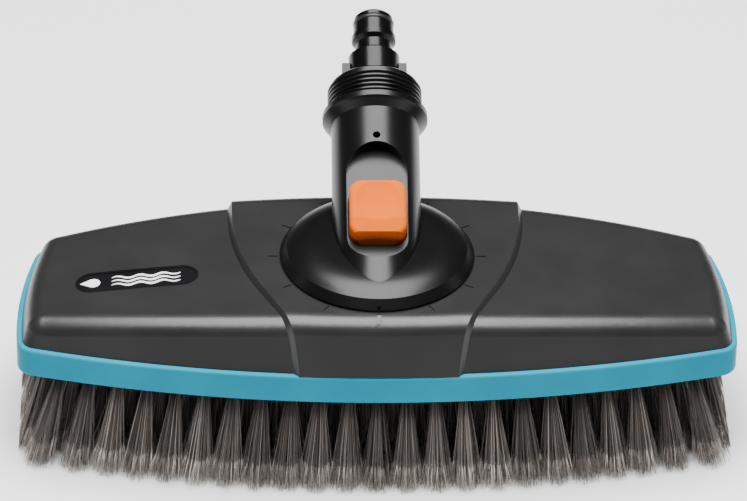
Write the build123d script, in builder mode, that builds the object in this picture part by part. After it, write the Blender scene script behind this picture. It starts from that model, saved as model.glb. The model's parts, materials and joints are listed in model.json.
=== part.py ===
"""Hose-fed wash-brush head with a swivelling, lockable handle neck.

Millimetres. +X runs along the head, -Y is its front, +Z is up.
The origin is on the swivel axis, in the plane of the bristle tips.
"""
from build123d import *
import math
import os

os.makedirs("parts", exist_ok=True)

# Heights of the head
block_bottom = 42.0        # bristle tips are at zero, so this is the free bristle length
block_top = 50.0
rim_top = 54.0
deck = 75.0                # flat top of the raised middle, where the swivel turns
lid_wall = 2.4

# Plan of the head, at the outside of the soft rim
rim_half_length = 139.5
rim_half_depth = 51.8
side_bow_radius = 510.0
end_bow_radius = 165.0
end_bow_y = -16.0          # the ends are widest here and draw in towards the back
rim_corner = 8.0
rim_ledge = 2.1            # rim standing proud of the cover
rim_wall = 3.6             # rim thickness beside the bristle block
rim_edge_round = 1.1

# Cover: the plan at the level of the deck, towards which the walls lean in
top_half_length = 130.5
top_half_depth = 42.2
top_corner = 10.0
crown_radius = 880.0
crown_drop = 1.2
crease_round = 8.0
plateau_proud = 1.8
plateau_half_width = 58.2
plateau_bend_y = 4.0       # from here forward the raised middle narrows
plateau_bend_radius = 120.0
plateau_front_half = 33.4
plateau_front_y = -48.0    # from here forward its sides run straight again
plateau_front_radius = 12.0
plateau_overrun = 5.0
step_width = 3.8
step_height = 2.0

# Swivel seat in the cover
seat_radius = 34.0
collar_radius = 38.2
collar_bottom = deck - 6.0
notch_count = 12
notch_depth = 1.7
notch_width = 4.2
notch_roof = 1.2
tick_start = 38.4
tick_length = 3.8
tick_width = 0.7
tick_depth = 0.45
front_tick_length = 4.8
front_tick_width = 1.6
front_tick_depth = 0.3
front_tick_tilt = 20.0     # degrees, to follow the rounded crease

# Badge recess on the left of the cover
badge_x, badge_y = -93.0, -6.5
badge_length, badge_width = 48.0, 13.2
badge_recess = 0.9
badge_thickness = 0.6
badge_border = 1.6

# Bristles
row_count = 7
row_outer_y = 43.0
edge_margin = 8.8          # outermost tufts from the rim's outside
tuft_pitch = 11.05
tufts_each_side = 11
tuft_root_radius = 1.7
tuft_tip_radius = 5.1
tuft_hole_depth = 6.2
side_lean = 7.5            # degrees, reached at the ends of the head
front_lean = 8.0           # degrees, reached at the front and back edges
anchor_height = 1.6
anchor_length = 3.0
anchor_wall = 0.6

# Water path
pipe_radius = 6.0
pipe_bore = 4.25
socket_clearance = 0.08
pipe_start, pipe_bend = 74.0, 58.0   # along the neck's axis
pipe_corner_z = deck - 5.0
pipe_end_z = 53.0
pipe_bend_radius = 10.0
pipe_seal_z, pipe_seal_wire = 59.0, 1.5
manifold_half_length = 112.0
manifold_half_depth = 12.0
manifold_corner = 6.0
manifold_wall = 2.5
manifold_channel = 6.0
manifold_ear, manifold_ear_height = 4.2, 3.0
manifold_top = 60.0
manifold_boss_top = 63.5
manifold_screw_grip = 4.5
gasket_thickness = 1.0
jet_radius = 1.2
jet_every = 3

# Swivelling neck
neck_angle = 25.0
neck_rise = 1.7            # height above the deck at which the neck's axis meets the swivel axis
neck_start = -26.0         # along its own axis, hidden inside the dome
neck_radius = 17.3
neck_wall = 2.6
dome_radius = 37.7
dome_gap = 0.3
dome_lip = 0.8
dome_shoulder = (8.5, 7.35)    # distance in from the dome's edge, and height above the deck
dome_crown = (15.0, 8.5)
dome_height = 9.0
hub_radius = 33.7
hub_wall = 3.2
hub_corner = (3.5, 2.2)
hub_roof = 5.2
hub_clearance = 0.2
flange_start, flange_end, flange_radius = 58.6, 62.4, 20.7
flange_round, flange_fall, flange_sink = 0.8, 2.4, 0.1
thread_end, thread_radius, thread_root, thread_pitch = 75.2, 18.6, 17.5, 2.0
thread_crest = 0.6
thread_lead = 0.8
recess_start, recess_end, recess_width = -12.0, 40.2, 23.8
recess_floor = 10.3
recess_plate = 1.6
rim_lean, rim_height = 2.7, 4.5
thread_relief, thread_turns = 0.8, 5
tail_radius = 9.0
pointer_size, pointer_depth, pointer_above = 3.4, 1.4, 2.6
window_clearance = 0.7
boss_radius, boss_length = 3.2, 12.5
sight_hole_at, sight_hole_radius = 43.0, 1.5

# Lock button
button_width, button_start, button_end = 22.1, -2.6, 21.3
button_top, button_skirt = 20.4, 6.8
button_corner = 5.0
button_wall = 2.0
pawl_width = 8.0
tooth_width = 3.6
tooth_top = deck - 1.5
tooth_bottom = deck - 5.5
tooth_reach = 35.2
tooth_length = 4.5
tooth_gap = 9.0
button_gap = 0.35
button_round = 2.0
bevel_foot, bevel_length = 18.8, 6.6
front_draft = 1.2
button_ceiling = 16.2
dish_at, dish_radius, dish_depth = 11.4, 30.0, 1.4
pawl_under, pawl_thickness, pawl_stem = 5.0, 2.8, 3.0
arm_gap, arm_root = 0.2, (1.5, 0.7)
spring_seat, spring_seat_radius, spring_seat_height = 2.2, 3.8, 2.4
spring_at, spring_radius, spring_wire, spring_turns = 13.0, 3.2, 0.7, 7

# Hose nose, along the neck's axis
skirt_radius, skirt_end = 10.1, 89.6
groove_radius, lip_radius, nose_radius = 7.2, 8.7, 8.0
nose_bore = 4.5
lip_start, lip_end = 95.6, 98.6
nose_ring_at, nose_ring_wire = 104.4, 1.1
nose_ring_depth, nose_ring_proud = 2.05, 0.15
nose_end = 107.9
shoulder_round, edge_break = 1.1, 0.4
tail_start = 64.0
tail_seal_at, tail_seal_wire, tail_seal_depth = 70.0, 0.8, 1.6
lug_span, lug_width, lug_start, lug_end = 12.8, 6.0, 78.6, 84.8

# Fasteners
screw_radius, screw_head_radius, screw_head_height = 1.5, 3.2, 2.2
screw_sink = 2.6
screw_post_radius = 4.0
pilot_depth = 16.0
screw_slot_length, screw_slot_width, screw_slot_depth = 3.6, 0.8, 1.2
cover_screw_length, manifold_screw_length, retainer_screw_length = 14.0, 7.0, 6.0
cover_screw_columns = (-8, -4, 4, 8)
manifold_screw_columns = (-9, -3, 3, 9)
retainer_screw_radius = 27.0
ring_inner, ring_outer, ring_thickness = 24.0, 37.8, 2.4
slip_inner, slip_thickness = 33.8, 0.8

tilt = math.radians(neck_angle)
neck_origin = Vector(0, 0, deck + neck_rise)
neck_axis = Vector(0, math.cos(tilt), math.sin(tilt))
neck_up = Vector(0, -math.sin(tilt), math.cos(tilt))
# Local x is across the neck, y along it and z out through the button.
button_plane = Plane(origin=neck_origin, x_dir=(1, 0, 0), z_dir=neck_up)
# Local x is along the neck and y out through the button.
profile_plane = Plane(origin=neck_origin, x_dir=neck_axis, z_dir=(1, 0, 0))
# Local z is along the neck.
section_plane = Plane(origin=neck_origin, x_dir=(1, 0, 0), z_dir=neck_axis)
neck_line = Axis(neck_origin, neck_axis)


def bow_depth(half_depth, x):
    """Half depth of a bowed plan at a distance x from its middle."""
    return half_depth - side_bow_radius + math.sqrt(side_bow_radius**2 - x**2)


def plan(height, half_length, half_depth, corner):
    """Plan of the head: bowed front and back, bowed ends that draw in to the back, round corners."""
    reach = bow_depth(half_depth, half_length)
    front_x = half_length - (reach + end_bow_y) ** 2 / (2 * end_bow_radius)
    back_x = half_length - (reach - end_bow_y) ** 2 / (2 * end_bow_radius)
    front_y = -bow_depth(half_depth, front_x)
    back_y = bow_depth(half_depth, back_x)
    with BuildSketch(Plane.XY.offset(height)) as outline:
        with BuildLine():
            ThreePointArc((-front_x, front_y), (0, -half_depth), (front_x, front_y))
            ThreePointArc((front_x, front_y), (half_length, end_bow_y), (back_x, back_y))
            ThreePointArc((back_x, back_y), (0, half_depth), (-back_x, back_y))
            ThreePointArc((-back_x, back_y), (-half_length, end_bow_y), (-front_x, front_y))
        make_face()
        fillet(outline.vertices(), corner)
    return outline.sketch


def crowned_body(inset):
    """The long tapered body of the cover; inset shrinks it evenly for the hollow inside."""
    base_length = rim_half_length - rim_ledge - inset
    base_depth = rim_half_depth - rim_ledge - inset
    base_corner = rim_corner - rim_ledge - inset / 2
    with BuildPart() as body:
        add(plan(rim_top, base_length, base_depth, base_corner))
        add(plan(deck, top_half_length - inset, top_half_depth - inset, top_corner))
        loft(ruled=True)
        end_z = deck - crown_drop - inset - rim_half_length**2 / (2 * crown_radius)
        with BuildSketch(Plane.XZ):
            with BuildLine():
                crown = ThreePointArc(
                    (-rim_half_length, end_z),
                    (0, deck - crown_drop - inset),
                    (rim_half_length, end_z),
                )
                Polyline(
                    crown @ 1,
                    (rim_half_length, rim_top - 1),
                    (-rim_half_length, rim_top - 1),
                    crown @ 0,
                )
            make_face()
        extrude(amount=rim_half_depth + 1, both=True, mode=Mode.INTERSECT)
        crown_face = body.faces().sort_by(Axis.Z)[-1]
        fillet(crown_face.edges(), crease_round - inset)
        add(plan(rim_top, base_length, base_depth, base_corner))
        extrude(amount=block_top - rim_top)
    return body.part


def plateau_plan(inset):
    """Plan of the raised middle, which narrows towards the front."""
    back = rim_half_depth + plateau_overrun
    width = plateau_half_width - inset
    front_width = plateau_front_half - inset
    with BuildSketch(Plane.XY.offset(block_top)) as outline:
        with BuildLine():
            Polyline(
                (-width, back),
                (width, back),
                (width, plateau_bend_y),
                (front_width, plateau_front_y),
                (front_width, -back),
                (-front_width, -back),
                (-front_width, plateau_front_y),
                (-width, plateau_bend_y),
                close=True,
            )
        make_face()
        bends = outline.vertices().group_by(Axis.Y)
        fillet(bends[2], plateau_bend_radius)
    with BuildSketch(Plane.XY.offset(block_top)) as smoothed:
        add(outline.sketch)
        fillet(smoothed.vertices().group_by(Axis.Y)[1], plateau_front_radius)
    return smoothed.sketch


def plateau_body(inset):
    """The raised middle, with its crease rounded and its sides stepped down at a slope."""
    base_length = rim_half_length - rim_ledge
    base_depth = rim_half_depth - rim_ledge + plateau_proud - inset
    with BuildPart() as body:
        add(plan(rim_top, base_length, base_depth, rim_corner))
        add(plan(deck - inset, top_half_length, top_half_depth + plateau_proud - inset, top_corner))
        loft(ruled=True)
        creases = body.faces().sort_by(Axis.Z)[-1].edges().sort_by(SortBy.LENGTH)[-2:]
        fillet(creases, crease_round)
        add(plateau_plan(inset))
        extrude(amount=deck - block_top + 1, mode=Mode.INTERSECT)
        if inset == 0:
            sides = body.edges(Select.LAST).filter_by(Axis.Z, reverse=True)
            sides = sides.filter_by_position(Axis.Z, rim_top + step_height, deck + 1)
            chamfer(sides, length=step_height, length2=step_width)
    return body.part


def tuft_rows():
    """Root positions of the tufts, one list for each row, front row first."""
    rows = []
    spacing = 2 * row_outer_y / (row_count - 1)
    for row in range(row_count):
        staggered = row % 2
        columns = range(-tufts_each_side - staggered, tufts_each_side + 1)
        xs = [tuft_pitch * (column + staggered / 2) for column in columns]
        y_middle = -row_outer_y + row * spacing
        share = y_middle / row_outer_y
        rows.append([(x, share * (bow_depth(rim_half_depth, x) - edge_margin)) for x in xs])
    return rows


def between_rows(column, gap):
    """A point on a tuft column, halfway between two rows; gap counts from the front."""
    x = tuft_pitch * column
    spacing = 2 * row_outer_y / (row_count - 1)
    share = (-row_outer_y + (gap + 0.5) * spacing) / row_outer_y
    return x, share * (bow_depth(rim_half_depth, x) - edge_margin)


cover_screws = [between_rows(c, gap) for c in cover_screw_columns for gap in (0, row_count - 2)]
manifold_screws_at = [between_rows(c, gap) for c in manifold_screw_columns for gap in (1, 4)]
jets = [(tuft_pitch * jet_every * k, 0) for k in range(-3, 4)]


def screw_set(plane, places, shank_length):
    """Pan-head screws with their heads below the plane and their shanks above it."""
    with BuildPart() as fasteners:
        with BuildSketch(plane):
            with Locations(*places):
                Circle(screw_head_radius)
        extrude(amount=-screw_head_height)
        with BuildSketch(plane.offset(-screw_head_height)):
            with Locations(*places):
                Rectangle(screw_slot_length, screw_slot_width)
                Rectangle(screw_slot_width, screw_slot_length)
        extrude(amount=screw_slot_depth, mode=Mode.SUBTRACT)
        with BuildSketch(plane):
            with Locations(*places):
                Circle(screw_radius)
        extrude(amount=shank_length)
    return fasteners.part


def o_ring(plane, radius, wire):
    """A round seal whose outer edge has the given radius."""
    with BuildPart() as seal:
        with Locations(plane):
            Torus(radius - wire, wire)
    return seal.part


# --- Body cover: hollow shell with the swivel seat, detent notches and screw posts ---
outer_body = crowned_body(0)
inner_body = crowned_body(lid_wall)
outer_plateau = plateau_body(0)
inner_plateau = plateau_body(lid_wall)

badge_slope = -badge_x / crown_radius
badge_z = deck - crown_drop - badge_x**2 / (2 * crown_radius)
badge_plane = Plane(
    origin=(badge_x, badge_y, badge_z), x_dir=(1, 0, badge_slope), z_dir=(-badge_slope, 0, 1)
)
front_tick_plane = Plane(
    origin=(0, -tick_start, deck - front_tick_depth),
    x_dir=(1, 0, 0),
    z_dir=(0, -math.sin(math.radians(front_tick_tilt)), math.cos(math.radians(front_tick_tilt))),
)

with BuildPart() as body_cover:
    add(outer_body)
    add(outer_plateau)
    add(inner_body, mode=Mode.SUBTRACT)
    add(inner_plateau, mode=Mode.SUBTRACT)
    # Posts for the screws that hold the bristle block
    with BuildSketch(Plane.XY.offset(block_top)):
        with Locations(*cover_screws):
            Circle(screw_post_radius)
    extrude(until=Until.NEXT)
    # Collar round the swivel opening
    with BuildSketch(Plane.XY.offset(collar_bottom)):
        Circle(collar_radius)
    extrude(amount=deck - collar_bottom - lid_wall)
    with BuildSketch(Plane.XY.offset(collar_bottom)):
        Circle(seat_radius)
    extrude(amount=deck - collar_bottom + 1, mode=Mode.SUBTRACT)
    # Detent notches on the inside of the collar, open downwards
    with BuildSketch(Plane.XY.offset(collar_bottom)):
        with PolarLocations(seat_radius, notch_count, start_angle=-90):
            Rectangle(2 * notch_depth, notch_width)
    extrude(amount=deck - collar_bottom - notch_roof, mode=Mode.SUBTRACT)
    # Angle ticks round the swivel, on the flat deck
    with BuildSketch(Plane.XY.offset(deck)):
        with PolarLocations(tick_start + tick_length / 2, notch_count, start_angle=-90):
            Rectangle(tick_length, tick_width)
    extrude(amount=-tick_depth, mode=Mode.SUBTRACT)
    # Wider tick in front, sloping with the crease
    with BuildSketch(front_tick_plane):
        with Locations((0, -front_tick_length / 2)):
            SlotOverall(front_tick_length, front_tick_width, rotation=90)
    extrude(amount=crease_round, mode=Mode.SUBTRACT)
    # Recess for the badge
    with BuildSketch(badge_plane):
        SlotOverall(badge_length, badge_width)
    extrude(amount=-badge_recess, both=True, mode=Mode.SUBTRACT)
    # Pilot holes in the posts
    with BuildSketch(Plane.XY.offset(block_top)):
        with Locations(*cover_screws):
            Circle(screw_radius)
    extrude(amount=pilot_depth, mode=Mode.SUBTRACT)
body_cover.part.label = "body_cover"
export_step(body_cover.part, "parts/body_cover.step")

# --- Blank badge plate, lying in its recess ---
with BuildPart() as badge_plate:
    with BuildSketch(badge_plane.offset(-badge_recess)):
        SlotOverall(badge_length, badge_width)
    extrude(amount=badge_thickness)
    with BuildSketch(badge_plane.offset(badge_thickness - badge_recess)):
        SlotOverall(badge_length - badge_border, badge_width - badge_border)
    extrude(amount=-badge_thickness / 2, mode=Mode.SUBTRACT)
badge_plate.part.label = "badge_plate"
export_step(badge_plate.part, "parts/badge_plate.step")

# --- Soft bumper rim: thin beside the cover, thicker beside the bristle block ---
with BuildPart() as bumper_rim:
    add(plan(block_bottom, rim_half_length, rim_half_depth, rim_corner))
    extrude(amount=rim_top - block_bottom)
    outer_edges = bumper_rim.faces().sort_by(Axis.Z)[-1].edges()
    outer_edges += bumper_rim.faces().sort_by(Axis.Z)[0].edges()
    fillet(outer_edges, rim_edge_round)
    add(plan(
        block_bottom, rim_half_length - rim_wall, rim_half_depth - rim_wall, rim_corner - rim_wall
    ))
    extrude(amount=block_top - block_bottom, mode=Mode.SUBTRACT)
    add(plan(
        block_top, rim_half_length - rim_ledge, rim_half_depth - rim_ledge, rim_corner - rim_ledge
    ))
    extrude(amount=rim_top - block_top, mode=Mode.SUBTRACT)
bumper_rim.part.label = "bumper_rim"
export_step(bumper_rim.part, "parts/bumper_rim.step")

# --- Bristle block with its tuft holes, water jets and screw holes ---
rows = tuft_rows()
roots = [root for row in rows for root in row]
with BuildPart() as bristle_block:
    add(plan(
        block_bottom, rim_half_length - rim_wall, rim_half_depth - rim_wall, rim_corner - rim_wall
    ))
    extrude(amount=block_top - block_bottom)
    with BuildSketch(Plane.XY.offset(block_bottom)):
        with Locations(*roots):
            Circle(tuft_root_radius)
    extrude(amount=tuft_hole_depth, mode=Mode.SUBTRACT)
    with BuildSketch(Plane.XY.offset(block_bottom)):
        with Locations(*jets):
            Circle(jet_radius)
        with Locations(*cover_screws):
            Circle(screw_radius)
    extrude(amount=block_top - block_bottom, mode=Mode.SUBTRACT)
    with BuildSketch(Plane.XY.offset(block_bottom)):
        with Locations(*cover_screws):
            Circle(screw_head_radius)
    extrude(amount=screw_sink, mode=Mode.SUBTRACT)
    with BuildSketch(Plane.XY.offset(block_top)):
        with Locations(*manifold_screws_at):
            Circle(screw_radius)
    extrude(amount=-manifold_screw_grip, mode=Mode.SUBTRACT)
bristle_block.part.label = "bristle_block"
export_step(bristle_block.part, "parts/bristle_block.step")

# --- Tufts: each leaves its hole as a round bundle and fans out to a flat-cut tip ---
for number, row in enumerate(rows, start=1):
    with BuildPart() as tuft_row:
        for x, y in row:
            sideways = side_lean * math.sin(math.pi / 2 * x / rim_half_length)
            lean_x = block_bottom * math.tan(math.radians(sideways))
            lean_y = block_bottom * math.tan(math.radians(front_lean * y / row_outer_y))
            with BuildSketch(Plane.XY.offset(block_bottom)):
                with Locations((x, y)):
                    Circle(tuft_root_radius)
            with BuildSketch(Plane.XY):
                with Locations((x + lean_x, y + lean_y)):
                    Circle(tuft_tip_radius)
            loft(ruled=True)
            with BuildSketch(Plane.XY.offset(block_bottom)):
                with Locations((x, y)):
                    Circle(tuft_root_radius)
            extrude(amount=tuft_hole_depth - anchor_height)
    tuft_row.part.label = f"tuft_row_{number}"
    export_step(tuft_row.part, f"parts/tuft_row_{number}.step")

# --- Flat wire anchors that hold the folded tufts in their holes ---
with BuildPart() as tuft_anchors:
    with BuildSketch(Plane.XY.offset(block_bottom + tuft_hole_depth - anchor_height)):
        with Locations(*roots):
            Rectangle(anchor_length, anchor_wall)
    extrude(amount=anchor_height)
tuft_anchors.part.label = "tuft_anchors"
export_step(tuft_anchors.part, "parts/tuft_anchors.step")

# --- Screws that hold the block to the cover, heads sunk among the bristles ---
seat = Plane.XY.offset(block_bottom + screw_sink)
cover_screw_set = screw_set(seat, cover_screws, cover_screw_length)
cover_screw_set.label = "block_screws"
export_step(cover_screw_set, "parts/block_screws.step")

# --- Gasket between the block and the water manifold ---
with BuildPart() as manifold_gasket:
    with BuildSketch(Plane.XY.offset(block_top)):
        RectangleRounded(2 * manifold_half_length, 2 * manifold_half_depth, manifold_corner)
        RectangleRounded(
            2 * (manifold_half_length - manifold_wall),
            2 * (manifold_half_depth - manifold_wall),
            manifold_corner - manifold_wall,
            mode=Mode.SUBTRACT,
        )
    extrude(amount=gasket_thickness)
manifold_gasket.part.label = "manifold_gasket"
export_step(manifold_gasket.part, "parts/manifold_gasket.step")

# --- Water manifold: a shallow upturned tray over the jets, fed by a central socket ---
manifold_bottom = block_top + gasket_thickness
with BuildPart() as water_manifold:
    with BuildSketch(Plane.XY.offset(manifold_bottom)):
        RectangleRounded(2 * manifold_half_length, 2 * manifold_half_depth, manifold_corner)
    extrude(amount=manifold_top - manifold_bottom)
    fillet(water_manifold.faces().sort_by(Axis.Z)[-1].edges(), manifold_corner / 2)
    # Ears for its screws, raised by the gasket's thickness
    for x, y in manifold_screws_at:
        with BuildSketch(Plane.XY.offset(block_top)):
            with Locations((x, y)):
                Circle(manifold_ear)
            with Locations((x, y / 2)):
                Rectangle(2 * manifold_ear, abs(y))
            with Locations((x, 0)):
                Rectangle(2 * manifold_ear, 2 * manifold_half_depth, mode=Mode.SUBTRACT)
        extrude(amount=manifold_ear_height)
    with BuildSketch(Plane.XY.offset(manifold_bottom)):
        Circle(pipe_radius + manifold_wall)
    extrude(amount=manifold_boss_top - manifold_bottom)
    with BuildSketch(Plane.XY.offset(manifold_bottom)):
        RectangleRounded(
            2 * (manifold_half_length - manifold_wall),
            2 * (manifold_half_depth - manifold_wall),
            manifold_corner - manifold_wall,
        )
    extrude(amount=manifold_channel, mode=Mode.SUBTRACT)
    with BuildSketch(Plane.XY.offset(manifold_bottom)):
        Circle(pipe_radius + socket_clearance)
    extrude(amount=manifold_boss_top - manifold_bottom, mode=Mode.SUBTRACT)
    with BuildSketch(Plane.XY.offset(block_top)):
        with Locations(*manifold_screws_at):
            Circle(screw_radius)
    extrude(amount=manifold_top, mode=Mode.SUBTRACT)
water_manifold.part.label = "water_manifold"
export_step(water_manifold.part, "parts/water_manifold.step")

# Their heads are uppermost, so this set is made on a plane that faces down.
ear_plane = Plane(origin=(0, 0, block_top + manifold_ear_height), x_dir=(1, 0, 0), z_dir=(0, 0, -1))
flipped = [(x, -y) for x, y in manifold_screws_at]
manifold_screw_set = screw_set(ear_plane, flipped, manifold_screw_length)
manifold_screw_set.label = "manifold_screws"
export_step(manifold_screw_set, "parts/manifold_screws.step")

# --- Swivelling neck: dome, tube, thumb recess, flange and handle thread in one moulding ---
dome_bottom = deck + dome_gap
hub_inside = hub_radius - hub_wall
with BuildPart() as neck_cavity:
    with BuildSketch(section_plane.offset(recess_start - 1)):
        Circle(neck_radius - neck_wall)
    extrude(amount=flange_end - recess_start + 1)
    with BuildSketch(button_plane.offset(recess_floor - recess_plate)):
        with Locations((0, (recess_start + recess_end) / 2)):
            SlotOverall(
                recess_end - recess_start + 2 * button_wall,
                recess_width + 2 * button_wall,
                rotation=90,
            )
    extrude(amount=neck_radius, mode=Mode.SUBTRACT)
    with BuildSketch(Plane.XZ):
        with BuildLine():
            Polyline(
                (0, collar_bottom - 1),
                (hub_inside, collar_bottom - 1),
                (hub_inside, dome_bottom + hub_roof - hub_corner[1]),
                (hub_inside - hub_corner[0], dome_bottom + hub_roof),
                (0, dome_bottom + hub_roof),
                close=True,
            )
        make_face()
    revolve(axis=Axis.Z)

hub_bottom = collar_bottom - slip_thickness - hub_clearance
dome_edge = (dome_radius - rim_lean, deck + rim_height)
dome_crown_at = (dome_radius - dome_crown[0], deck + dome_crown[1])
flange_foot = flange_start - flange_fall
thread_start = flange_end + thread_relief
with BuildPart() as swivel_neck:
    with BuildSketch(section_plane.offset(neck_start)):
        Circle(neck_radius)
    extrude(amount=flange_start - neck_start)
    with BuildSketch(Plane.XY.offset(dome_bottom)):
        Circle(4 * neck_radius)
    extrude(amount=-4 * neck_radius, mode=Mode.SUBTRACT)
    # Dome with a steep rim
    with BuildSketch(Plane.XZ):
        with BuildLine():
            Polyline(
                (0, dome_bottom),
                (dome_radius, dome_bottom),
                (dome_radius, dome_bottom + dome_lip),
                dome_edge,
            )
            ThreePointArc(
                dome_edge,
                (dome_radius - dome_shoulder[0], deck + dome_shoulder[1]),
                dome_crown_at,
            )
            Polyline(dome_crown_at, (0, deck + dome_height), (0, dome_bottom))
        make_face()
    revolve(axis=Axis.Z)
    # Hub that turns inside the collar
    with BuildSketch(Plane.XY.offset(hub_bottom)):
        Circle(hub_radius)
    extrude(amount=dome_bottom - hub_bottom)
    # Flange with a rounded edge and the threaded collar with a lead-in
    with BuildSketch(profile_plane):
        with BuildLine():
            Polyline(
                (flange_foot, 0),
                (flange_foot, neck_radius - flange_sink),
                (flange_start, flange_radius - flange_round),
                (flange_start + flange_round, flange_radius),
                (flange_end - flange_round, flange_radius),
                (flange_end, flange_radius - flange_round),
                (flange_end, thread_root),
                (thread_start, thread_root),
            )
            for turn in range(thread_turns):
                start = thread_start + turn * thread_pitch
                Polyline(
                    (start, thread_root),
                    (start + (thread_pitch - thread_crest) / 2, thread_radius),
                    (start + (thread_pitch + thread_crest) / 2, thread_radius),
                    (start + thread_pitch, thread_root),
                )
            Polyline(
                (thread_start + thread_turns * thread_pitch, thread_root),
                (thread_end - thread_lead, thread_root),
                (thread_end, thread_root - thread_lead),
                (thread_end, 0),
                (flange_foot, 0),
            )
        make_face()
    revolve(axis=neck_line)
    # Hollow inside, socket for the hose nose
    add(neck_cavity.part, mode=Mode.SUBTRACT)
    with BuildSketch(section_plane.offset(flange_end)):
        Circle(tail_radius)
    extrude(amount=thread_end - flange_end, mode=Mode.SUBTRACT)
    # Thumb recess, and the well that the button slides in
    with BuildSketch(button_plane.offset(recess_floor)):
        with Locations((0, (recess_start + recess_end) / 2)):
            SlotOverall(recess_end - recess_start, recess_width, rotation=90)
    extrude(amount=neck_radius, mode=Mode.SUBTRACT)
    with BuildSketch(button_plane.offset(button_skirt)):
        with Locations((0, (button_start + button_end) / 2)):
            RectangleRounded(
                button_width + 2 * button_gap,
                button_end - button_start + 2 * button_gap,
                button_corner,
            )
    extrude(amount=neck_radius, mode=Mode.SUBTRACT)
    # Sight hole above the recess
    with BuildSketch(button_plane):
        with Locations((0, sight_hole_at)):
            Circle(sight_hole_radius)
    extrude(amount=2 * neck_radius, mode=Mode.SUBTRACT)
    # Window through the hub for the lock tooth
    with BuildSketch(Plane.XY.offset(hub_bottom)):
        with Locations((0, -hub_radius)):
            Rectangle(tooth_width + 2 * window_clearance, 2.5 * hub_wall)
    extrude(amount=tooth_top - hub_bottom + hub_clearance, mode=Mode.SUBTRACT)
    # Bosses for the retainer screws
    with BuildSketch(Plane.XY.offset(hub_bottom)):
        with PolarLocations(retainer_screw_radius, 4, start_angle=45):
            Circle(boss_radius)
    extrude(amount=boss_length)
    with BuildSketch(Plane.XY.offset(hub_bottom)):
        with PolarLocations(retainer_screw_radius, 4, start_angle=45):
            Circle(screw_radius)
    extrude(amount=retainer_screw_length, mode=Mode.SUBTRACT)
    # Pointer on the front of the rim
    with BuildSketch(Plane.XZ.offset(dome_radius + 1)):
        with Locations((0, deck + pointer_above)):
            Triangle(a=pointer_size, b=pointer_size, c=pointer_size, rotation=180)
    extrude(amount=-1 - pointer_depth, mode=Mode.SUBTRACT)
swivel_neck.part.label = "swivel_neck"
export_step(swivel_neck.part, "parts/swivel_neck.step")

# --- Water pipe: from the hose nose down the neck, then straight down into the manifold ---
along = [neck_origin + neck_axis * s for s in (pipe_start, pipe_bend)]
pipe_points = [along[0], along[1], Vector(0, 0, pipe_corner_z), Vector(0, 0, pipe_end_z)]
with BuildPart() as water_pipe:
    with BuildLine() as route:
        FilletPolyline(*pipe_points, radius=pipe_bend_radius)
    with BuildSketch(Plane(origin=route.line @ 0, z_dir=route.line % 0)):
        Circle(pipe_radius)
        Circle(pipe_bore, mode=Mode.SUBTRACT)
    sweep()
    # Groove for the seal in the manifold's socket
    with BuildSketch(Plane.XY.offset(pipe_seal_z - pipe_seal_wire)):
        Circle(pipe_radius + 1)
        Circle(pipe_radius - pipe_seal_wire, mode=Mode.SUBTRACT)
    extrude(amount=2 * pipe_seal_wire, mode=Mode.SUBTRACT)
    # Flat seat for the button spring
    with BuildSketch(button_plane.offset(spring_seat)):
        with Locations((0, spring_at)):
            Circle(spring_seat_radius)
    extrude(amount=-spring_seat_height)
water_pipe.part.label = "water_pipe"
export_step(water_pipe.part, "parts/water_pipe.step")

# --- Seal between the turning pipe and the manifold's socket ---
pipe_seal = o_ring(Plane.XY.offset(pipe_seal_z), pipe_radius, pipe_seal_wire / 2)
pipe_seal.label = "pipe_seal"
export_step(pipe_seal, "parts/pipe_seal.step")

# --- Slip ring and retainer ring, which hold the neck in the cover; gaps clear the tooth ---
with BuildPart() as slip_ring:
    with BuildSketch(Plane.XY.offset(hub_bottom)):
        Circle(ring_outer)
        Circle(slip_inner, mode=Mode.SUBTRACT)
        with Locations((0, -seat_radius)):
            Rectangle(tooth_gap, 4 * hub_wall, mode=Mode.SUBTRACT)
    extrude(amount=slip_thickness)
slip_ring.part.label = "slip_ring"
export_step(slip_ring.part, "parts/slip_ring.step")

with BuildPart() as retainer_ring:
    with BuildSketch(Plane.XY.offset(hub_bottom - ring_thickness)):
        Circle(ring_outer)
        Circle(ring_inner, mode=Mode.SUBTRACT)
        with Locations((0, -seat_radius)):
            Rectangle(tooth_gap, 8 * hub_wall, mode=Mode.SUBTRACT)
        with PolarLocations(retainer_screw_radius, 4, start_angle=45):
            Circle(screw_radius, mode=Mode.SUBTRACT)
    extrude(amount=ring_thickness)
retainer_ring.part.label = "retainer_ring"
export_step(retainer_ring.part, "parts/retainer_ring.step")

# Four screws at 45 degrees to the head's axes
diagonal = retainer_screw_radius / math.sqrt(2)
ring_screws = [(x, y) for x in (-diagonal, diagonal) for y in (-diagonal, diagonal)]
retainer_screw_set = screw_set(
    Plane.XY.offset(hub_bottom - ring_thickness), ring_screws, retainer_screw_length
)
retainer_screw_set.label = "retainer_screws"
export_step(retainer_screw_set, "parts/retainer_screws.step")

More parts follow.
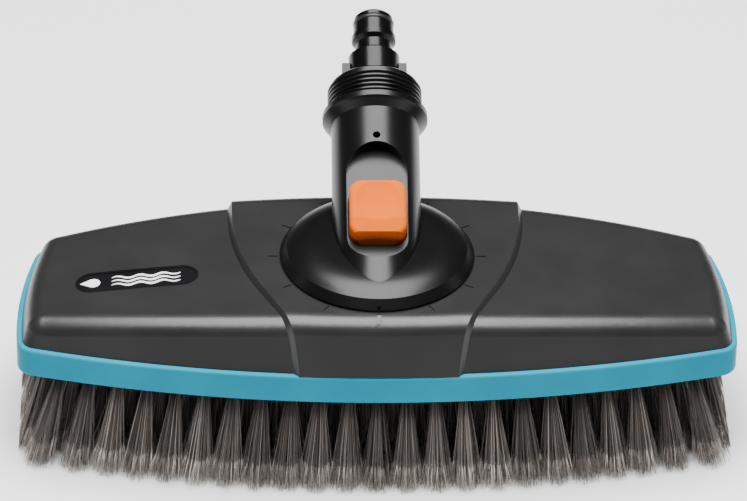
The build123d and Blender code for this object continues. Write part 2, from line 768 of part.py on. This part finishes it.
# --- Hose nose: quick-connect plug with its locking groove and bayonet lugs ---
ring_groove = (nose_ring_at - nose_ring_wire, nose_ring_at + nose_ring_wire)
with BuildPart() as hose_connector:
    with BuildSketch(profile_plane):
        with BuildLine():
            Polyline(
                (tail_start, 0),
                (tail_start, tail_radius - edge_break),
                (tail_start + edge_break, tail_radius),
                (tail_seal_at - tail_seal_wire, tail_radius),
                (tail_seal_at - tail_seal_wire, tail_radius - tail_seal_depth),
                (tail_seal_at + tail_seal_wire, tail_radius - tail_seal_depth),
                (tail_seal_at + tail_seal_wire, tail_radius),
                (thread_end, tail_radius),
                (thread_end, skirt_radius),
                (skirt_end - shoulder_round, skirt_radius),
                (skirt_end, skirt_radius - shoulder_round),
                (skirt_end + shoulder_round, groove_radius),
                (lip_start - shoulder_round, groove_radius),
                (lip_start, lip_radius - edge_break),
                (lip_start + edge_break, lip_radius),
                (lip_end - edge_break, lip_radius),
                (lip_end, nose_radius),
                (ring_groove[0], nose_radius),
                (ring_groove[0], nose_radius - nose_ring_depth),
                (ring_groove[1], nose_radius - nose_ring_depth),
                (ring_groove[1], nose_radius - edge_break),
                (nose_end - shoulder_round, nose_radius - edge_break),
                (nose_end, nose_radius - edge_break - shoulder_round),
                (nose_end, 0),
                close=True,
            )
        make_face()
    revolve(axis=neck_line)
    # Bayonet lugs on both sides of the skirt
    with BuildSketch(section_plane.offset(lug_start)):
        Rectangle(2 * lug_span, lug_width)
    extrude(amount=lug_end - lug_start)
    # Waterway, widened at the tail to take the pipe
    with BuildSketch(section_plane.offset(tail_start)):
        Circle(nose_bore)
    extrude(amount=nose_end - tail_start, mode=Mode.SUBTRACT)
    with BuildSketch(section_plane.offset(tail_start)):
        Circle(pipe_radius)
    extrude(amount=pipe_start - tail_start, mode=Mode.SUBTRACT)
hose_connector.part.label = "hose_connector"
export_step(hose_connector.part, "parts/hose_connector.step")

nose_o_ring = o_ring(section_plane.offset(nose_ring_at), nose_radius + nose_ring_proud, nose_ring_wire)
nose_o_ring.label = "nose_o_ring"
export_step(nose_o_ring, "parts/nose_o_ring.step")

connector_seal = o_ring(section_plane.offset(tail_seal_at), tail_radius, tail_seal_wire)
connector_seal.label = "connector_seal"
export_step(connector_seal, "parts/connector_seal.step")

# --- Lock button: hollow cap with a sloped front and a thumb dish ---
button_length = button_end - button_start
button_middle = (button_start + button_end) / 2
with BuildPart() as lock_button:
    with BuildSketch(button_plane.offset(button_skirt)):
        with Locations((0, button_middle)):
            RectangleRounded(button_width, button_length, button_corner)
    extrude(amount=button_top - button_skirt)
    # Drafted front wall and the bevel above it
    with BuildSketch(profile_plane):
        with BuildLine():
            Polyline(
                (button_start - 1, button_top + 1),
                (button_start - 1, recess_floor),
                (button_start, recess_floor),
                (button_start + front_draft, bevel_foot),
                (button_start + bevel_length, button_top),
                (button_start + bevel_length, button_top + 1),
                close=True,
            )
        make_face()
    extrude(amount=button_width, both=True, mode=Mode.SUBTRACT)
    rims = lock_button.edges().filter_by_position(Axis(neck_origin, neck_up), bevel_foot, button_top + 1)
    rims = rims.filter_by(lambda e: abs((e @ 0 - e @ 1).dot(neck_up)) <= button_top - bevel_foot)
    fillet(rims, button_round)
    # Thumb dish
    with Locations(button_plane.offset(button_top - dish_depth + dish_radius)):
        with Locations((0, dish_at, 0)):
            Sphere(dish_radius, mode=Mode.SUBTRACT)
    # Hollow underside
    with BuildSketch(button_plane.offset(button_skirt)):
        with Locations((0, button_middle)):
            RectangleRounded(
                button_width - 2 * button_wall,
                button_length - 2 * button_wall,
                button_corner - button_wall,
            )
    extrude(amount=button_ceiling - button_skirt, mode=Mode.SUBTRACT)
    # Notch in the front wall for the pawl's arm
    with BuildSketch(profile_plane):
        with Locations((button_start, button_skirt)):
            Rectangle(2 * button_wall, 2 * (pawl_under + pawl_thickness + arm_gap - button_skirt))
    extrude(amount=tooth_width / 2 + arm_gap, both=True, mode=Mode.SUBTRACT)
lock_button.part.label = "lock_button"
export_step(lock_button.part, "parts/lock_button.step")

# --- Lock pawl: a bent arm from inside the button to a tooth in the cover's notches ---
inside_front = button_start + button_wall
with BuildPart() as lock_pawl:
    with BuildSketch(profile_plane):
        with BuildLine():
            Polyline(
                (inside_front, pawl_under),
                (inside_front, button_ceiling),
                (inside_front + pawl_stem, button_ceiling),
                (inside_front + pawl_stem, pawl_under),
                close=True,
            )
        make_face()
    extrude(amount=pawl_width / 2, both=True)
    root_low = neck_origin + neck_axis * inside_front + neck_up * pawl_under
    root_high = neck_origin + neck_axis * inside_front + neck_up * (pawl_under + pawl_thickness)
    with BuildSketch(Plane.YZ):
        with BuildLine():
            Polyline(
                (root_low.Y + arm_root[0], root_low.Z + arm_root[1]),
                (root_low.Y, root_low.Z),
                (-tooth_reach + tooth_length, tooth_bottom),
                (-tooth_reach, tooth_bottom),
                (-tooth_reach, tooth_top),
                (-tooth_reach + tooth_length, tooth_top),
                (root_high.Y, root_high.Z),
                close=True,
            )
        make_face()
    extrude(amount=tooth_width / 2, both=True)
lock_pawl.part.label = "lock_pawl"
export_step(lock_pawl.part, "parts/lock_pawl.step")

# --- Return spring under the button ---
spring_length = button_ceiling - spring_seat - spring_wire
spring_plane = Plane(
    origin=neck_origin + neck_axis * spring_at + neck_up * (spring_seat + spring_wire / 2),
    x_dir=(1, 0, 0),
    z_dir=neck_up,
)
with BuildPart() as button_spring:
    with BuildLine() as coil:
        Helix(
            pitch=spring_length / spring_turns,
            height=spring_length,
            radius=spring_radius - spring_wire / 2,
            center=spring_plane.origin,
            direction=neck_up,
        )
    with BuildSketch(Plane(origin=coil.line @ 0, z_dir=coil.line % 0)):
        Circle(spring_wire / 2)
    sweep(is_frenet=True)
button_spring.part.label = "button_spring"
export_step(button_spring.part, "parts/button_spring.step")
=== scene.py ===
import json
import math

import bpy
import numpy as np
from mathutils import Matrix, Vector


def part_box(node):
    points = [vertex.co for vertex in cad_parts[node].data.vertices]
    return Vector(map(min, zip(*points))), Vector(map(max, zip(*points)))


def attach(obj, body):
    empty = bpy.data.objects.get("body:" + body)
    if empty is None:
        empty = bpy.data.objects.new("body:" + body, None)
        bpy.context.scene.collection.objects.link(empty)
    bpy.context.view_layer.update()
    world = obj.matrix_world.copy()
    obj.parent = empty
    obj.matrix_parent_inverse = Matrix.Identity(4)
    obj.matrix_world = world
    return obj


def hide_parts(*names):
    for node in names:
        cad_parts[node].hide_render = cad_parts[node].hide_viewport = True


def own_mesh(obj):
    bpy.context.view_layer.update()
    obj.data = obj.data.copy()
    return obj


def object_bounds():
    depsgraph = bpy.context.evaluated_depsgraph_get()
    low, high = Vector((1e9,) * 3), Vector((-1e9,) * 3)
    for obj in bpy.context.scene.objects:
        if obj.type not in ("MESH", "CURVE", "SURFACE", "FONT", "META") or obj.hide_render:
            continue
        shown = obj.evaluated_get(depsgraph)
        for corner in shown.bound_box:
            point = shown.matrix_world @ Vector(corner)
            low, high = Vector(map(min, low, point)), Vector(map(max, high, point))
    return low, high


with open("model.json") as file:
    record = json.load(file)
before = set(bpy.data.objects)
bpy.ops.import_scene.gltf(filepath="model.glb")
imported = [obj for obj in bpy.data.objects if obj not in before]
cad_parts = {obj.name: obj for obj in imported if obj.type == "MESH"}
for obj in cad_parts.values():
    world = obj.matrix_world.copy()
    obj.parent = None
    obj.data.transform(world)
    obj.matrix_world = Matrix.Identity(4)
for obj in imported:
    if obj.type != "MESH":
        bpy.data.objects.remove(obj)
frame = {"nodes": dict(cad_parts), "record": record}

SEED = 20
MM = 0.001
TUFT_ROWS = 7

cad_low, cad_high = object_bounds()
rng = np.random.default_rng(SEED)


# ---------------------------------------------------------------- materials

def add_node(mat, kind, **values):
    """A shader node with some of its properties or input values set."""
    made = mat.node_tree.nodes.new(kind)
    for key, value in values.items():
        if key in made.inputs:
            made.inputs[key].default_value = value
        else:
            setattr(made, key, value)
    return made


def link(mat, source, output, target, socket):
    """Joins one node's output to another's input."""
    mat.node_tree.links.new(source.outputs[output], target.inputs[socket])


def base_material(name, color, roughness, **values):
    """A Principled material with constant values on its own sockets."""
    mat = bpy.data.materials.new(name)
    mat.use_nodes = True
    shader = mat.node_tree.nodes["Principled BSDF"]
    shader.inputs["Base Color"].default_value = (*color, 1.0)
    shader.inputs["Roughness"].default_value = roughness
    for key, value in values.items():
        shader.inputs[key.replace("_", " ")].default_value = value
    return mat, shader


def object_noise(mat, scale, detail=3.0, stretch=None):
    """Noise fixed to the piece, with features about one metre over scale across."""
    place = add_node(mat, "ShaderNodeTexCoord")
    noise = add_node(mat, "ShaderNodeTexNoise", Scale=scale, Detail=detail)
    if stretch:
        mapping = add_node(mat, "ShaderNodeMapping", Scale=stretch)
        link(mat, place, "Object", mapping, "Vector")
        link(mat, mapping, "Vector", noise, "Vector")
    else:
        link(mat, place, "Object", noise, "Vector")
    return noise


def color_ramp(mat, stops):
    """A ramp node with a colour at each of the given positions."""
    ramp = add_node(mat, "ShaderNodeValToRGB")
    elements = ramp.color_ramp.elements
    while len(elements) < len(stops):
        elements.new(0.5)
    for element, (position, color) in zip(elements, stops, strict=True):
        element.position = position
        element.color = (*color, 1.0)
    return ramp


def vary_color(mat, shader, noise, dark, light):
    """Base colour that drifts between two tones with the noise."""
    ramp = color_ramp(mat, ((0.3, dark), (0.7, light)))
    link(mat, noise, "Fac", ramp, "Fac")
    link(mat, ramp, "Color", shader, "Base Color")


def vary_roughness(mat, shader, noise, low, high):
    """Gloss that drifts between two values with the noise."""
    spread = add_node(mat, "ShaderNodeMapRange")
    spread.inputs["To Min"].default_value = low
    spread.inputs["To Max"].default_value = high
    link(mat, noise, "Fac", spread, "Value")
    link(mat, spread, "Result", shader, "Roughness")


def add_bump(mat, shader, noise, depth):
    """Relief of the given depth in metres."""
    bump = add_node(mat, "ShaderNodeBump", Strength=1.0, Distance=depth)
    link(mat, noise, "Fac", bump, "Height")
    link(mat, bump, "Normal", shader, "Normal")


TONE_DRIFT, GLOSS_DRIFT = 0.07, 0.05     # how far a plastic's tone and roughness wander
CLOUD_SCALE, CLOUD_DETAIL = 45.0, 4.0
LINE_SCALE, LINE_DEPTH = 900.0, 0.00001
LINE_STRETCH = (1.0, 1.0, 0.08)


def moulded_plastic(name, color, roughness, grain_size, grain_depth, **values):
    """Moulded plastic: a fine surface grain, slight clouding of tone and of gloss."""
    mat, shader = base_material(name, color, roughness, **values)
    clouds = object_noise(mat, CLOUD_SCALE, CLOUD_DETAIL)
    dark = [(1 - TONE_DRIFT) * part for part in color]
    light = [(1 + TONE_DRIFT) * part for part in color]
    vary_color(mat, shader, clouds, dark, light)
    vary_roughness(mat, shader, clouds, roughness - GLOSS_DRIFT, roughness + GLOSS_DRIFT)
    grain = object_noise(mat, 1 / grain_size, 2.0)
    add_bump(mat, shader, grain, grain_depth)
    return mat


def drawn_metal(name, color, roughness):
    """Bare metal with fine drawing lines."""
    mat, shader = base_material(name, color, roughness, Metallic=1.0)
    lines = object_noise(mat, LINE_SCALE, stretch=LINE_STRETCH)
    vary_roughness(mat, shader, lines, roughness - 0.08, roughness + 0.1)
    add_bump(mat, shader, lines, LINE_DEPTH)
    return mat


def bristle_material():
    """Taupe filaments: each its own tone, darker at the root partly as painted shade between the
    packed tufts and partly their own darker tone, pale where the tips are split.
    """
    mat, shader = base_material("bristle_taupe", (0.12, 0.1, 0.09), 0.55, Specular_IOR_Level=0.35)
    tones = ((0.0, (0.02, 0.016, 0.014)), (0.5, (0.1, 0.084, 0.074)), (1.0, (0.42, 0.37, 0.335)))
    # along each filament: painted shade darkens the roots together with their own darker tone;
    # the split tips are paler
    root_shade_tip_pale_steps = ((0.0, 0.3), (0.3, 0.85), (0.74, 1.0), (0.8, 1.9))
    strand = add_node(mat, "ShaderNodeAttribute", attribute_name="strand")
    tone = color_ramp(mat, tones)
    link(mat, strand, "Fac", tone, "Fac")
    along = add_node(mat, "ShaderNodeAttribute", attribute_name="along")
    root_shade_tip_pale = color_ramp(mat, [(position, (value, value, value)) for position, value in root_shade_tip_pale_steps])
    link(mat, along, "Fac", root_shade_tip_pale, "Fac")
    mix = add_node(mat, "ShaderNodeVectorMath", operation="MULTIPLY")
    link(mat, tone, "Color", mix, 0)
    link(mat, root_shade_tip_pale, "Color", mix, 1)
    link(mat, mix, "Vector", shader, "Base Color")
    return mat


# Plastics: name, colour, roughness, size and depth of the grain in metres
cover_mat = moulded_plastic(
    "cover_grey", (0.013, 0.013, 0.0133), 0.34, 0.0004, 0.00003, Specular_IOR_Level=0.4
)
rim_mat = moulded_plastic(
    "rim_turquoise", (0.0, 0.19, 0.28), 0.3, 0.0005, 0.00001, Specular_IOR_Level=0.04
)
block_mat = moulded_plastic("block_black", (0.006, 0.006, 0.0065), 0.55, 0.0005, 0.00003)
neck_mat = moulded_plastic(
    "neck_black", (0.0025, 0.0025, 0.0027), 0.3, 0.00035, 0.000012, Specular_IOR_Level=0.26
)
nose_mat = moulded_plastic(
    "nose_black", (0.002, 0.002, 0.0022), 0.24, 0.0004, 0.000012, Specular_IOR_Level=0.2
)
inner_mat = moulded_plastic("inner_grey", (0.15, 0.15, 0.15), 0.5, 0.0005, 0.00002)
button_mat = moulded_plastic(
    "button_orange", (0.6, 0.105, 0.0), 0.28, 0.0004, 0.000006, Specular_IOR_Level=0.008,
    Subsurface_Weight=0.2, Subsurface_Scale=0.003,
)
badge_mat = moulded_plastic("badge_black", (0.004, 0.004, 0.0045), 0.25, 0.0003, 0.000008)
seal_mat = moulded_plastic("seal_rubber", (0.006, 0.006, 0.006), 0.45, 0.0003, 0.00001)
mark_mat = moulded_plastic("mark_white", (0.8, 0.8, 0.8), 0.4, 0.0004, 0.000005)
wire_mat = drawn_metal("wire_steel", (0.62, 0.61, 0.6), 0.3)
screw_mat = drawn_metal("screw_steel", (0.6, 0.6, 0.6), 0.28)
bristle_mat = bristle_material()

finishes = {
    "cover_grey": cover_mat, "rim_turquoise": rim_mat, "block_black": block_mat,
    "neck_black": neck_mat, "nose_black": nose_mat, "inner_grey": inner_mat,
    "button_orange": button_mat, "badge_black": badge_mat, "seal_rubber": seal_mat,
    "wire_steel": wire_mat, "screw_steel": screw_mat, "bristle_taupe": bristle_mat,
}
for subpart in frame["record"]["subparts"]:
    cad = frame["nodes"][subpart["node"]]
    for cad_slot in cad.material_slots:
        cad_slot.material = finishes[subpart["material_slot"]]


def add_piece(name, mesh, material):
    """Puts a finished mesh into the scene."""
    mesh.materials.append(material)
    piece = bpy.data.objects.new(name, mesh)
    bpy.context.scene.collection.objects.link(piece)
    return piece


# ------------------------------------------------------------------ bristles

FILAMENTS = 104            # per tuft
SPREAD_ROOT, SPREAD_TIP = 1.35 * MM, 6.6 * MM
TIP_WOBBLE = 0.07          # of the spread at the tip
ROOT_SUNK = 0.6 * MM       # start of the filaments, up inside the block's holes
FILAMENT_RADIUS = 0.17 * MM
FILAMENT_BOW = 0.22 * MM
SIDES = 3                  # of a filament's section
BODY_POINTS, BODY_TAPER = (0.0, 0.3, 0.55), (1.0, 1.0, 0.95, 0.85)
SPLIT_AT = 0.76            # share of the length where a filament's end splits
HAIRS = 2                  # that each filament splits into
HAIR_TAPER = (0.7, 0.6, 0.35)
HAIR_SPREAD, HAIR_BEND = 0.55 * MM, 0.25 * MM
TUFT_TONE = 0.06           # spread of tone from tuft to tuft
STRAYS = 2                 # per tuft, which stand away from the bundle
STRAY_SPREAD, STRAY_LOW, STRAY_HIGH = 2.6 * MM, 0.5, 8.0
END_TUFTS, END_LEAN = 0.8, 0.28     # tufts beyond this share of the half length lean out
AT_LEVEL = 0.1 * MM        # points this near a level count as lying in it
CLUSTER_GAP = 2 * MM       # tuft holes are further apart than this
ALL_ROUND = 2 * math.pi
GOLDEN_ANGLE = math.pi * (3 - math.sqrt(5))

block_low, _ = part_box("bristle_block")


def centres_along_x(points, count):
    """Centres of the given number of clusters, cut at the widest gaps along X."""
    points = points[np.argsort(points[:, 0])]
    cuts = np.sort(np.argsort(np.diff(points[:, 0]))[1 - count:]) + 1
    return [(chunk.min(0) + chunk.max(0)) / 2 for chunk in np.split(points, cuts)]


def tuft_axes(node):
    """Root and tip centre of each tuft of a row, read from its CAD solids."""
    mesh = frame["nodes"][node].data
    co = np.empty(len(mesh.vertices) * 3)
    mesh.vertices.foreach_get("co", co)
    co = co.reshape(-1, 3)
    roots = co[abs(co[:, 2] - block_low.z) < AT_LEVEL]
    count = 1 + int((np.diff(np.sort(roots[:, 0])) > CLUSTER_GAP).sum())
    tips = co[co[:, 2] < AT_LEVEL]
    return list(zip(centres_along_x(roots, count), centres_along_x(tips, count), strict=True))


def inside_box(points):
    """Keeps tips within the outline that the CAD takes up."""
    low = np.array(cad_low) + FILAMENT_RADIUS
    high = np.array(cad_high) - FILAMENT_RADIUS
    return np.clip(points, low, high)


def filament_paths(root, tip):
    """Both ends of one tuft's filaments and the sideways bow of each."""
    number = np.arange(FILAMENTS)
    radius = np.sqrt((number + 0.5) / FILAMENTS)
    angle = number * GOLDEN_ANGLE + rng.uniform(0, ALL_ROUND)
    disc = np.stack([radius * np.cos(angle), radius * np.sin(angle), 0 * radius], 1)
    wobble = rng.normal(0, TIP_WOBBLE, (FILAMENTS, 3)) * (1, 1, 0)
    start = root + disc * SPREAD_ROOT + (0, 0, ROOT_SUNK)
    end = tip + (disc * rng.uniform(0.86, 1.1, (FILAMENTS, 1)) + wobble) * SPREAD_TIP
    end[:, 2] = (0.15 + 1.5 * radius**3 + rng.exponential(0.3, FILAMENTS)) * MM
    stray = rng.choice(FILAMENTS, STRAYS, replace=False)
    end[stray, :2] += rng.normal(0, STRAY_SPREAD, (STRAYS, 2))
    end[stray, 2] = rng.uniform(STRAY_LOW, STRAY_HIGH, STRAYS) * MM
    bow = rng.normal(0, FILAMENT_BOW, (FILAMENTS, 3)) * (1, 1, 0)
    return start, inside_box(end), bow


def tube(path, widths, shade, along, twist, out):
    """Adds a tapering tube along the path's points to the lists in out."""
    first = out["count"]
    steps = len(path)
    turn = twist + np.arange(SIDES) * ALL_ROUND / SIDES
    ring = np.stack([np.cos(turn), np.sin(turn), 0 * turn], 1)
    points = path[:, None, :] + ring[None] * widths[:, None, None]
    out["points"].append(points.reshape(-1, 3))
    out["strand"].append(np.full(steps * SIDES, shade))
    out["along"].append(np.repeat(along, SIDES))
    level = first + np.arange(steps - 1)[:, None] * SIDES
    side = np.arange(SIDES)[None]
    after = (side + 1) % SIDES
    corners = [level + side, level + side + SIDES, level + after + SIDES, level + after]
    out["quads"].append(np.stack(corners, -1).reshape(-1, 4))
    last = first + steps * SIDES
    out["ends"].append([[first, first + 1, first + 2], [last - 1, last - 2, last - 3]])
    out["count"] = last


def mesh_from(name, out, material):
    """One smooth-shaded piece made of all the tubes in the lists."""
    points = np.concatenate(out["points"])
    quads = np.concatenate(out["quads"])
    ends = np.concatenate(out["ends"])
    mesh = bpy.data.meshes.new(name)
    mesh.from_pydata(points.tolist(), [], quads.tolist() + ends.tolist())
    for attribute in ("strand", "along"):
        values = np.concatenate(out[attribute]).astype(np.float32)
        made = mesh.attributes.new(attribute, "FLOAT", "POINT")
        made.data.foreach_set("value", values)
    mesh.polygons.foreach_set("use_smooth", np.ones(len(mesh.polygons), bool))
    return add_piece(name, mesh, material)


def build_row(number):
    """All filaments of one row of tufts, as one piece."""
    node = f"tuft_row_{number}"
    out = {"points": [], "quads": [], "ends": [], "strand": [], "along": [], "count": 0}
    share = np.array([*BODY_POINTS, SPLIT_AT])
    hair_share = np.array([SPLIT_AT, (1 + SPLIT_AT) / 2, 1.0])
    body_widths = FILAMENT_RADIUS * np.array(BODY_TAPER)
    hair_widths = FILAMENT_RADIUS * np.array(HAIR_TAPER)
    for root, tip in tuft_axes(node):
        tone = rng.normal(0, TUFT_TONE)
        beyond = max(0.0, abs(tip[0]) - END_TUFTS * cad_high.x)
        tip = tip + (math.copysign(END_LEAN * beyond, tip[0]), 0, 0)
        for start, end, bow in zip(*filament_paths(root, tip), strict=True):
            shade = float(np.clip(rng.beta(2.0, 2.4) + tone, 0, 1))
            twist = rng.uniform(0, math.pi)
            straight = start + (end - start) * share[:, None]
            body = straight + bow * np.sin(math.pi * share)[:, None]
            tube(body, body_widths, shade, share, twist, out)
            split = body[-1]
            for _ in range(HAIRS):
                target = inside_box(end + rng.normal(0, HAIR_SPREAD, 3) * (1, 1, 0.8))
                middle = (split + target) / 2 + rng.normal(0, HAIR_BEND, 3)
                hair = np.stack([split, middle, target])
                tube(hair, hair_widths, shade, hair_share, twist, out)
    piece = mesh_from(f"bristles_row_{number}", out, bristle_mat)
    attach(piece, "head")
    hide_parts(node)


for row_number in range(1, TUFT_ROWS + 1):
    build_row(row_number)


# -------------------------------------------------------------------- spring

def build_spring():
    """The return spring, copied into its own piece on the swivel; it is not made to shorten with
    the button's travel.
    """
    node = frame["nodes"]["button_spring"]
    piece = bpy.data.objects.new("return_spring", node.data.copy())
    bpy.context.scene.collection.objects.link(piece)
    piece.matrix_world = node.matrix_world.copy()
    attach(piece, "swivel")
    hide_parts("button_spring")
    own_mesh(piece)


build_spring()


# --------------------------------------------------------------------- badge

DROP_RADIUS, DROP_REACH, DROP_STEPS = 2.7, 5.2, 40       # millimetres, like all of the badge
DROP_AT, WAVES_AT = -17.0, 3.5
WAVE_ROWS = (2.4, 0.0, -2.4)
WAVE_LENGTH, WAVE_SWING, WAVE_WIDTH, WAVE_COUNT, WAVE_STEPS = 27.0, 0.75, 1.15, 3, 60
MARK_HEIGHT, MARK_ROUND = 0.25, 0.1


def drop_outline():
    """A water drop lying along X, its point to the left."""
    tangent = math.acos(DROP_RADIUS / DROP_REACH)
    turns = np.linspace(-math.pi + tangent, math.pi - tangent, DROP_STEPS)
    arc = [(DROP_RADIUS * math.cos(turn), DROP_RADIUS * math.sin(turn)) for turn in turns]
    return [(-DROP_REACH, 0.0)] + arc


def wave_outline():
    """A band that follows a sine wave along X, with tapering ends."""
    steps = np.linspace(0, 1, WAVE_STEPS)
    middle = WAVE_SWING * np.sin(2 * math.pi * WAVE_COUNT * steps)
    half = WAVE_WIDTH / 2 * np.sin(math.pi * steps) ** 0.4 + 0.02
    x = WAVE_LENGTH * (steps - 0.5)
    above = list(zip(x, middle + half, strict=True))
    below = list(zip(x, middle - half, strict=True))
    return below + above[::-1]


def raised_shape(name, outline, place):
    """A flat-topped white relief of the outline, standing on the place's XY plane."""
    count = len(outline)
    levels = ((0.0, 0.0), (MARK_HEIGHT * 0.7, 0.0), (MARK_HEIGHT, MARK_ROUND))
    centre = np.mean(outline, 0)
    points = []
    for z, inset in levels:
        for x, y in outline:
            away = Vector((x - centre[0], y - centre[1]))
            away *= 1 - inset / max(away.length, 1.0)
            points.append(place @ (Vector((centre[0] + away.x, centre[1] + away.y, z)) * MM))
    top = (len(levels) - 1) * count
    faces = [
        (low + k, low + (k + 1) % count, low + count + (k + 1) % count, low + count + k)
        for low in range(0, top, count)
        for k in range(count)
    ]
    faces.append(tuple(range(count))[::-1])
    faces.append(tuple(range(top, top + count)))
    mesh = bpy.data.meshes.new(name)
    mesh.from_pydata(points, [], faces)
    piece = add_piece(name, mesh, mark_mat)
    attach(piece, "head")


def badge_place():
    """Frame of the badge's sunk face: X along the badge, Z out of it."""
    mesh = frame["nodes"]["badge_plate"].data
    facing_up = [face for face in mesh.polygons if face.normal.z > 0.9]
    normal = sum((face.normal * face.area for face in facing_up), Vector()).normalized()
    low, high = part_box("badge_plate")
    middle = (low + high) / 2
    floor = min(
        (mesh.vertices[v].co - middle).dot(normal) for face in facing_up for v in face.vertices
    )
    side = Vector((0, 1, 0)).cross(normal).normalized()
    turn = Matrix((side, normal.cross(side), normal)).transposed()
    return Matrix.Translation(middle + normal * floor) @ turn.to_4x4()


def build_badge():
    """A drop and three waves in relief, in place of any lettering."""
    place = badge_place()
    drop_place = place @ Matrix.Translation((DROP_AT * MM, 0, 0))
    raised_shape("badge_drop", drop_outline(), drop_place)
    for number, y in enumerate(WAVE_ROWS, start=1):
        wave_place = place @ Matrix.Translation((WAVES_AT * MM, y * MM, 0))
        raised_shape(f"badge_wave_{number}", wave_outline(), wave_place)


build_badge()


# ------------------------------------------------------- floor, lights, camera

FLOOR_SIZE, FLOOR_DROP = 30.0, 0.0002
FLOOR_TONE, FLOOR_ROUGHNESS = 0.86, 0.9
AMBIENT = 0.035
BOX_PLACE, BOX_AIM = (0, -0.07, 1.2), (0, -0.07, 0)
BOX_SIZE, BOX_WATTS = (1.0, 1.05), 62
STRIP_ASIDE, STRIP_BACK, STRIP_UP = 1.4, 0.2, 0.5
STRIP_AIM, STRIP_SIZE = (0, 0, 0.07), (0.1, 0.9)
AZIMUTH, ELEVATION, ROLL = -2.0, 34.8, 1.2
DISTANCE, ASIDE, ABOVE = 2.2, 0.0013566, 0.0022093
LENS, SENSOR = 273.542, 36.0


def set_stage():
    """A plain pale floor."""
    bpy.ops.mesh.primitive_plane_add(size=FLOOR_SIZE, location=(0, 0, -FLOOR_DROP))
    floor = bpy.context.object
    floor.name = "studio_floor"
    grey = (FLOOR_TONE, FLOOR_TONE, FLOOR_TONE)
    mat, shader = base_material("studio_floor", grey, FLOOR_ROUGHNESS, Specular_IOR_Level=0.1)
    vary_color(mat, shader, object_noise(mat, 3.0), (0.85, 0.85, 0.85), (0.87, 0.87, 0.87))
    floor.data.materials.append(mat)


def area_light(name, place, aim, size, watts):
    """A rectangular light at a place, turned towards a point."""
    lamp = bpy.data.lights.new(name, "AREA")
    lamp.shape = "RECTANGLE"
    lamp.size, lamp.size_y = size
    lamp.energy = watts
    light = bpy.data.objects.new(name, lamp)
    light.location = place
    light.rotation_euler = (Vector(aim) - Vector(place)).to_track_quat("-Z", "Y").to_euler()
    bpy.context.scene.collection.objects.link(light)


def set_lights():
    """One large box overhead, a faint strip on each side and a little light all round."""
    world = bpy.data.worlds.new("studio")
    bpy.context.scene.world = world
    world.use_nodes = True
    backdrop = world.node_tree.nodes["Background"]
    backdrop.inputs["Color"].default_value = (1.0, 1.0, 1.0, 1.0)
    backdrop.inputs["Strength"].default_value = AMBIENT
    area_light("overhead_box", BOX_PLACE, BOX_AIM, BOX_SIZE, BOX_WATTS)
    for name, side, watts in (("left_strip", -1, 0.6), ("right_strip", 1, 0.9)):
        place = (side * STRIP_ASIDE, STRIP_BACK, STRIP_UP)
        area_light(name, place, STRIP_AIM, STRIP_SIZE, watts)


def set_camera():
    """A long lens in front, a little left of the middle and looking down."""
    a, e = math.radians(AZIMUTH), math.radians(ELEVATION)
    back = Vector((math.sin(a) * math.cos(e), -math.cos(a) * math.cos(e), math.sin(e)))
    level = (-back).to_track_quat("-Z", "Y").to_matrix()
    turn = level @ Matrix.Rotation(math.radians(ROLL), 3, "Z")
    _, cover_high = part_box("body_cover")
    middle = Vector((0, 0, cover_high.z))
    lens = bpy.data.cameras.new("camera")
    lens.sensor_width = SENSOR
    lens.lens = LENS
    lens.clip_start, lens.clip_end = 0.1, 50.0
    camera = bpy.data.objects.new("camera", lens)
    place = middle + back * DISTANCE - turn.col[0] * ASIDE + turn.col[1] * ABOVE
    camera.matrix_world = Matrix.Translation(place) @ turn.to_4x4()
    bpy.context.scene.collection.objects.link(camera)
    bpy.context.scene.camera = camera


set_stage()
set_lights()
set_camera()
